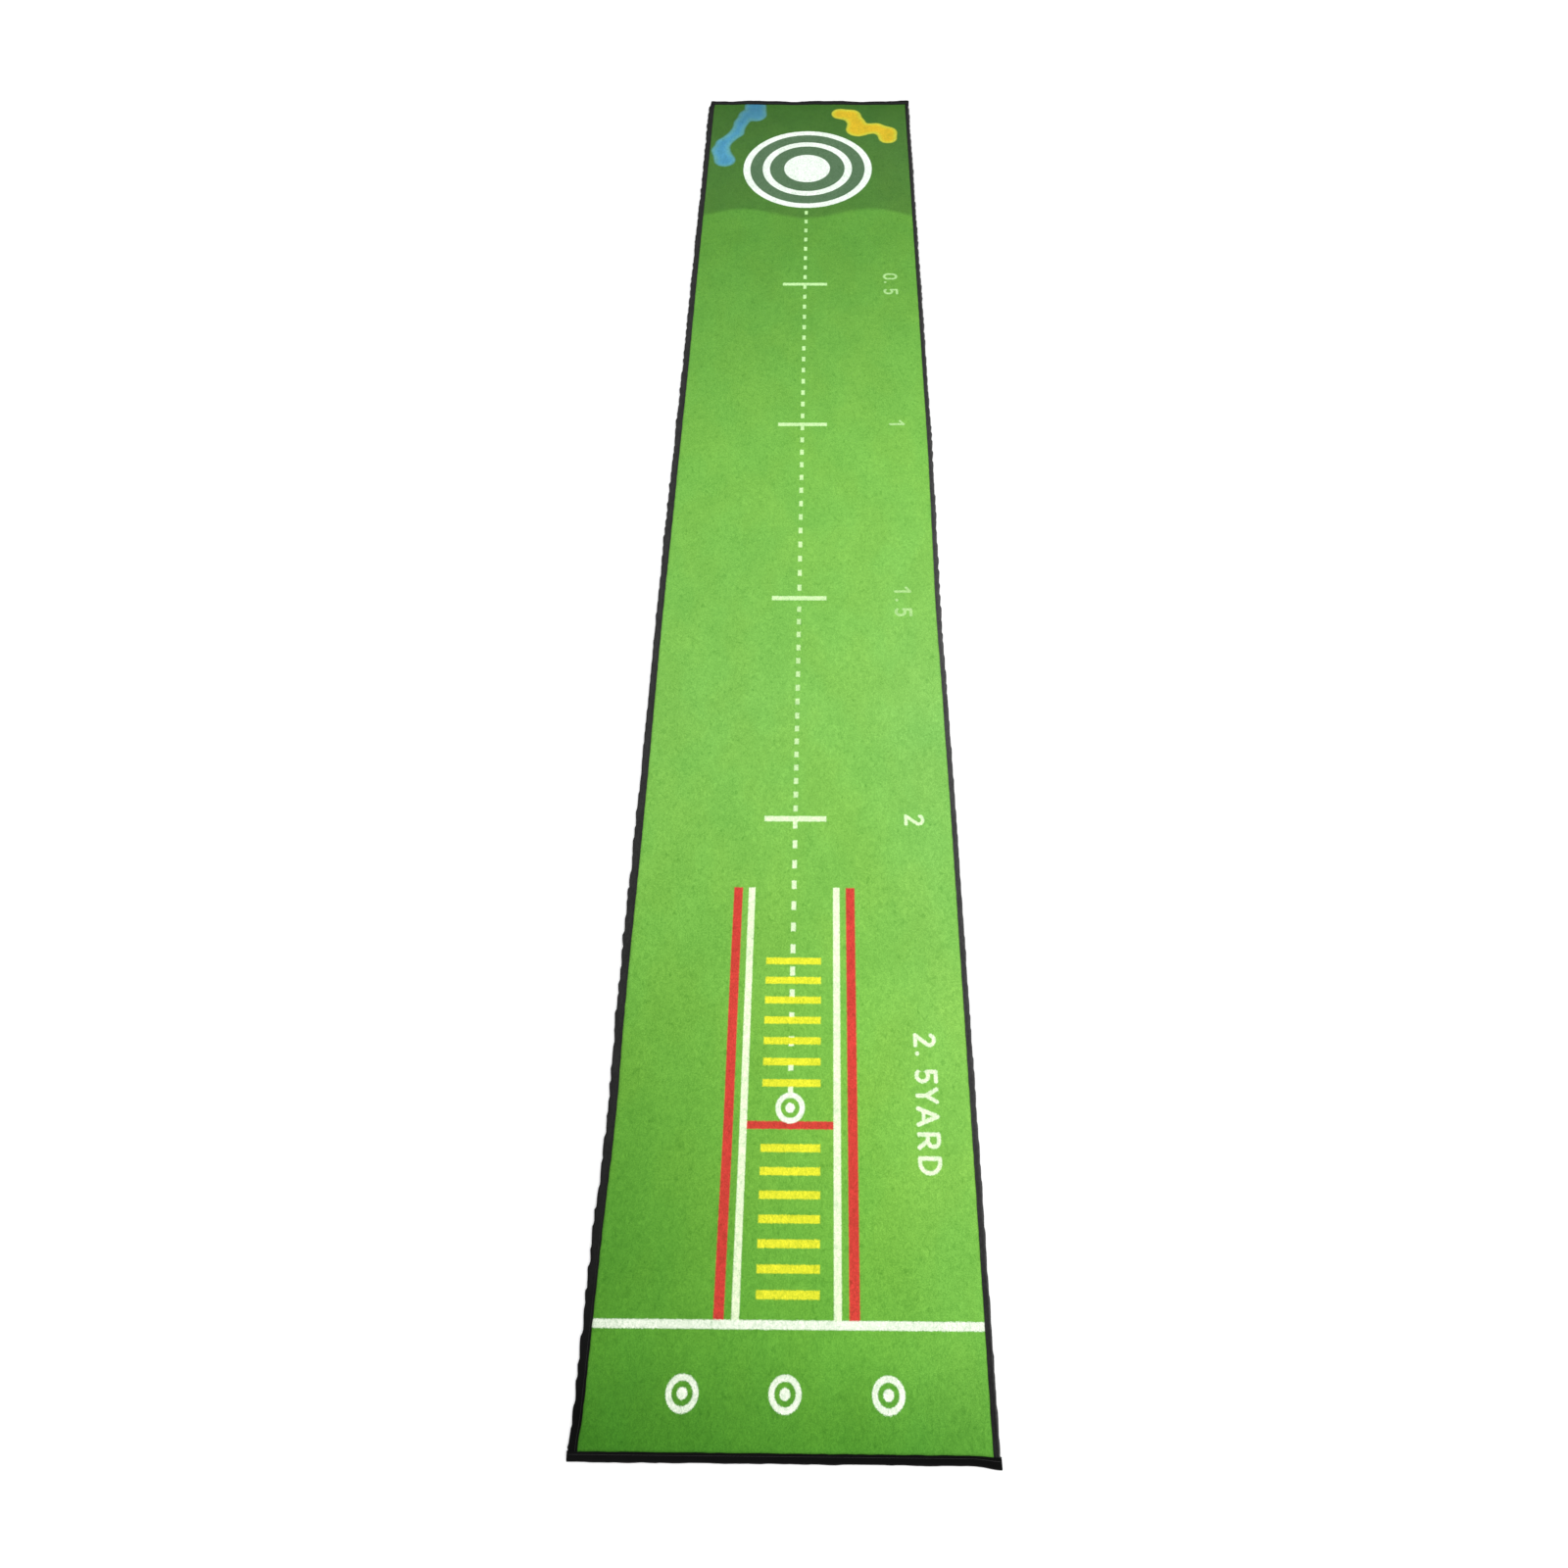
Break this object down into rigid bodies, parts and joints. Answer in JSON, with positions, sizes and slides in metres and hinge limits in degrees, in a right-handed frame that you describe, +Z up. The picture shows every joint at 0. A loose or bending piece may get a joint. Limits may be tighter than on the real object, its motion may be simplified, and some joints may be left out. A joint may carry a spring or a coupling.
{
  "type": "practice putting mat",
  "caption": "Long flat practice putting green: printed velour bonded to rubber, black tape-bound edges, target rings at one end, aiming rails and ball spots at the other.",
  "frame": {"origin": "on the floor at the middle of the mat", "axes": "+Y along the mat towards the target, +X across it to the player's right, +Z up off the floor"},
  "size_m": [0.54, 3, 0.007],
  "materials": {
    "pile": "short printed velour, soft and matte",
    "adhesive": "hot-melt web, hidden",
    "felt": "needle felt, hidden",
    "backing": "matte textured anti-slip rubber",
    "tape": "woven binding tape, matte",
    "thread": "polyester sewing thread"
  },
  "bodies": {
    "root": {"printed_pile": "pile", "adhesive_web": "adhesive", "felt_interlining": "felt", "rubber_backing": "backing", "binding_tape_left": "tape", "binding_tape_right": "tape", "binding_tape_near": "tape", "binding_tape_far": "tape", "needle_thread_left": "thread", "needle_thread_right": "thread", "needle_thread_near": "thread", "needle_thread_far": "thread", "bobbin_thread_left": "thread", "bobbin_thread_right": "thread", "bobbin_thread_near": "thread", "bobbin_thread_far": "thread"}
  },
  "joints": []
}
